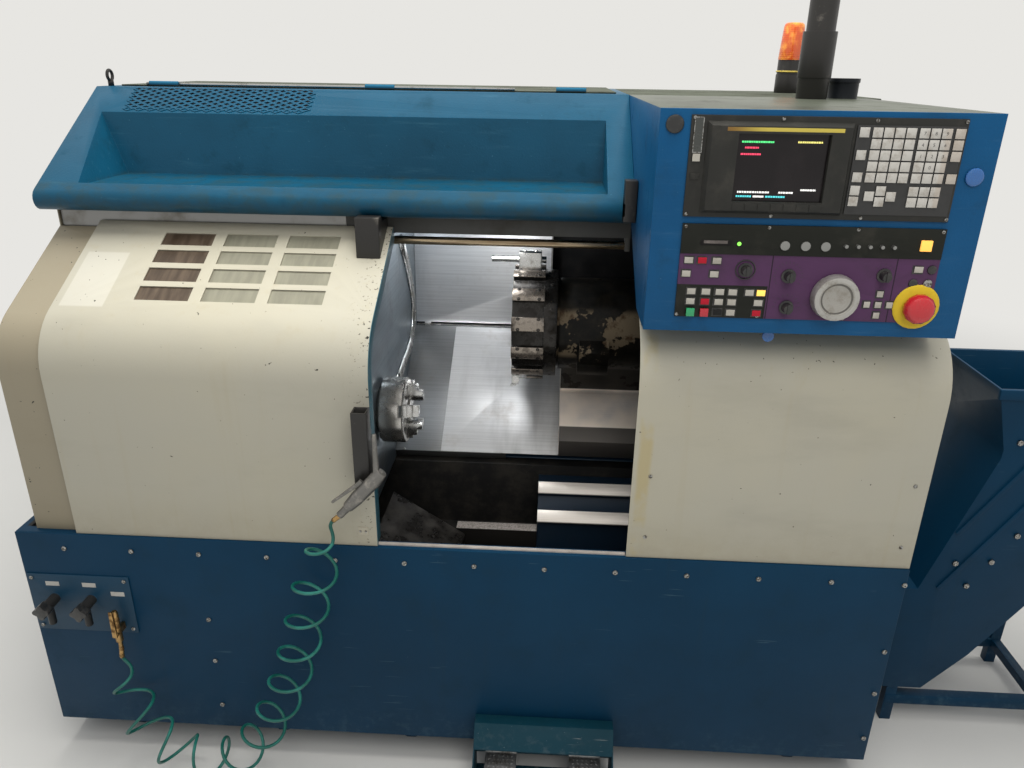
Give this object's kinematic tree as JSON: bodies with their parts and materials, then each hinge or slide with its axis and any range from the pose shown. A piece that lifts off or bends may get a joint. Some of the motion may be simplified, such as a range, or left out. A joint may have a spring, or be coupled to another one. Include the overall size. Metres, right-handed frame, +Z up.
{
  "type": "cnc turning lathe",
  "caption": "Slant-bed turning lathe with sliding door, tool turret, three-jaw chuck, control box and chip conveyor.",
  "frame": {"origin": "middle of the machine's footprint on the floor", "axes": "+X along the spindle to the right, +Y to the back, +Z up"},
  "size_m": [2.82, 1.625, 2.0673],
  "materials": {
    "base_blue": "dark blue textured machine paint, scuffed",
    "hood_blue": "blue textured machine paint with worn edges",
    "box_blue": "bright blue machine paint",
    "cover_cream": "off-white paint with oily smudges and chips",
    "roof_grey": "grey-green paint",
    "stainless": "brushed stainless sheet, oily",
    "dark_steel": "oiled dark steel with rubbed edges",
    "bright_steel": "ground steel",
    "casting_blue": "painted casting",
    "black_paint": "black paint",
    "black_plastic": "black moulded plastic",
    "panel_dark": "dark grey panel",
    "panel_purple": "purple panel film, worn",
    "key_grey": "grey key caps",
    "glass": "dark glass",
    "red": "red plastic",
    "green": "green plastic",
    "orange": "orange translucent plastic",
    "brass": "tarnished brass",
    "hose_green": "green polyurethane hose",
    "gun_grey": "worn grey alloy"
  },
  "bodies": {
    "root": {"base_frame": "base_blue", "front_panel": "base_blue", "left_cover": "cover_cream", "right_cover": "cover_cream", "header": "stainless", "door_rail_top": "brass", "hood": "hood_blue", "right_roof": "roof_grey", "rear_cabinet": "base_blue", "control_box": "box_blue", "display_panel": "panel_dark", "screen": "glass", "keyboard": "key_grey", "operator_panel": "panel_purple", "interlock_switch": "black_plastic", "beacon_base": "black_plastic", "beacon_dome": "orange", "extraction_pipe": "black_paint", "slant_bed": "casting_blue", "tailstock_bed": "casting_blue", "way_cover": "stainless", "back_guard": "stainless", "inner_left_wall": "stainless", "headstock": "casting_blue", "chip_conveyor": "base_blue", "pedal_guard": "hood_blue", "service_plate": "base_blue", "air_valve": "brass", "air_hose": "hose_green"},
    "door": {"door": "cover_cream", "door_window": "glass", "door_handle": "black_paint", "door_hanger": "black_plastic", "air_gun": "gun_grey"},
    "gun_trigger": {"gun_trigger": "gun_grey"},
    "lid": {"top_lid": "roof_grey"},
    "spindle": {"chuck_body": "dark_steel"},
    "jaw_1": {"jaw_1": "bright_steel"},
    "jaw_2": {"jaw_2": "bright_steel"},
    "jaw_3": {"jaw_3": "bright_steel"},
    "carriage": {"carriage": "stainless"},
    "cross_slide": {"turret_housing": "dark_steel"},
    "turret": {"turret_disc": "dark_steel", "boring_holder": "bright_steel", "turning_tool": "bright_steel"},
    "tailstock": {"tailstock": "casting_blue"},
    "quill": {"tailstock_quill": "bright_steel"},
    "estop": {"estop_button": "red"},
    "cycle_start": {"cycle_start": "green"},
    "feed_hold": {"feed_hold": "red"},
    "handwheel": {"handwheel": "bright_steel"},
    "mode_knob": {"mode_knob": "black_plastic"},
    "feed_knob": {"feed_knob": "black_plastic"},
    "spindle_knob": {"spindle_knob": "black_plastic"},
    "rapid_knob": {"rapid_knob": "black_plastic"},
    "left_pedal": {"left_pedal": "stainless"},
    "right_pedal": {"right_pedal": "stainless"},
    "valve_lever": {"valve_lever": "brass"},
    "tap_knob_1": {"tap_knob_1": "black_plastic"},
    "tap_knob_2": {"tap_knob_2": "black_plastic"}
  },
  "joints": [
    {"name": "door_slide", "type": "slide", "parent": "root", "child": "door", "axis": [1, 0, 0], "range_m": [0, 0.572]},
    {"name": "gun_trigger_press", "type": "hinge", "parent": "door", "child": "gun_trigger", "pos_m": [-0.54927, -0.71425, 0.86885], "axis": [0, -1, 0], "range_deg": [0, 8], "stiffness_Nm_per_rad": 0.6, "springref_deg": -11.46},
    {"name": "lid_hinge", "type": "hinge", "parent": "root", "child": "lid", "pos_m": [-1.34, 0.0525, 1.6543], "axis": [1, 0, 0], "range_deg": [0, 75]},
    {"name": "chuck_spin", "type": "hinge", "parent": "root", "child": "spindle", "pos_m": [-0.505, -0.3475, 0.885], "axis": [1, 0, 0], "continuous": true},
    {"name": "jaw_1_slide", "type": "slide", "parent": "spindle", "child": "jaw_1", "axis": [0, -0.9397, 0.342], "range_m": [-0.004, 0.004]},
    {"name": "jaw_2_slide", "type": "slide", "parent": "spindle", "child": "jaw_2", "axis": [0, 0.1736, -0.9848], "range_m": [-0.004, 0.004]},
    {"name": "jaw_3_slide", "type": "slide", "parent": "spindle", "child": "jaw_3", "axis": [0, 0.766, 0.6428], "range_m": [-0.004, 0.004]},
    {"name": "carriage_slide", "type": "slide", "parent": "root", "child": "carriage", "axis": [1, 0, 0], "range_m": [-0.12, 0.18]},
    {"name": "cross_slide_feed", "type": "slide", "parent": "carriage", "child": "cross_slide", "axis": [0, 0.8517, 0.524], "range_m": [-0.15, 0.02]},
    {"name": "turret_index", "type": "hinge", "parent": "cross_slide", "child": "turret", "pos_m": [-0.247, -0.08269, 1.04791], "axis": [1, 0, 0], "continuous": true},
    {"name": "tailstock_slide", "type": "slide", "parent": "root", "child": "tailstock", "axis": [-1, 0, 0], "range_m": [0, 0.3]},
    {"name": "quill_slide", "type": "slide", "parent": "tailstock", "child": "quill", "axis": [-1, 0, 0], "range_m": [0, 0.06]},
    {"name": "estop_push", "type": "slide", "parent": "root", "child": "estop", "axis": [0, 1, 0], "range_m": [0, 0.004]},
    {"name": "cycle_start_push", "type": "slide", "parent": "root", "child": "cycle_start", "axis": [0, 1, 0], "range_m": [0, 0.002], "stiffness_N_per_m": 800, "springref_m": -0.001},
    {"name": "feed_hold_push", "type": "slide", "parent": "root", "child": "feed_hold", "axis": [0, 1, 0], "range_m": [0, 0.002], "stiffness_N_per_m": 800, "springref_m": -0.001},
    {"name": "handwheel_turn", "type": "hinge", "parent": "root", "child": "handwheel", "pos_m": [0.4, -0.6821, 1.308], "axis": [0, 1, 0], "continuous": true},
    {"name": "mode_knob_turn", "type": "hinge", "parent": "root", "child": "mode_knob", "pos_m": [0.226, -0.6821, 1.356], "axis": [0, 1, 0], "range_deg": [-120, 120]},
    {"name": "feed_knob_turn", "type": "hinge", "parent": "root", "child": "feed_knob", "pos_m": [0.309, -0.6821, 1.346], "axis": [0, 1, 0], "range_deg": [-135, 135]},
    {"name": "spindle_knob_turn", "type": "hinge", "parent": "root", "child": "spindle_knob", "pos_m": [0.313, -0.6821, 1.284], "axis": [0, 1, 0], "range_deg": [-90, 90]},
    {"name": "rapid_knob_turn", "type": "hinge", "parent": "root", "child": "rapid_knob", "pos_m": [0.488, -0.6821, 1.352], "axis": [0, 1, 0], "range_deg": [-40, 40]},
    {"name": "left_pedal_press", "type": "hinge", "parent": "root", "child": "left_pedal", "pos_m": [-0.275, -0.6675, 0.072], "axis": [1, 0, 0], "range_deg": [0, 8], "stiffness_Nm_per_rad": 12, "springref_deg": -5.73},
    {"name": "right_pedal_press", "type": "hinge", "parent": "root", "child": "right_pedal", "pos_m": [-0.061, -0.6675, 0.072], "axis": [1, 0, 0], "range_deg": [0, 8], "stiffness_Nm_per_rad": 12, "springref_deg": -5.73},
    {"name": "valve_lever_turn", "type": "hinge", "parent": "root", "child": "valve_lever", "pos_m": [-1.184, -0.6933, 0.407], "axis": [0, 1, 0], "range_deg": [0, 90]},
    {"name": "tap_1_turn", "type": "hinge", "parent": "root", "child": "tap_knob_1", "pos_m": [-1.344, -0.6928, 0.48], "axis": [0, 1, 0], "range_deg": [0, 270]},
    {"name": "tap_2_turn", "type": "hinge", "parent": "root", "child": "tap_knob_2", "pos_m": [-1.252, -0.6928, 0.48], "axis": [0, 1, 0], "range_deg": [0, 270]}
  ],
  "couplings": [
    {"joint": "jaw_2_slide", "follows": "jaw_1_slide", "ratio": 1},
    {"joint": "jaw_3_slide", "follows": "jaw_1_slide", "ratio": 1}
  ]
}
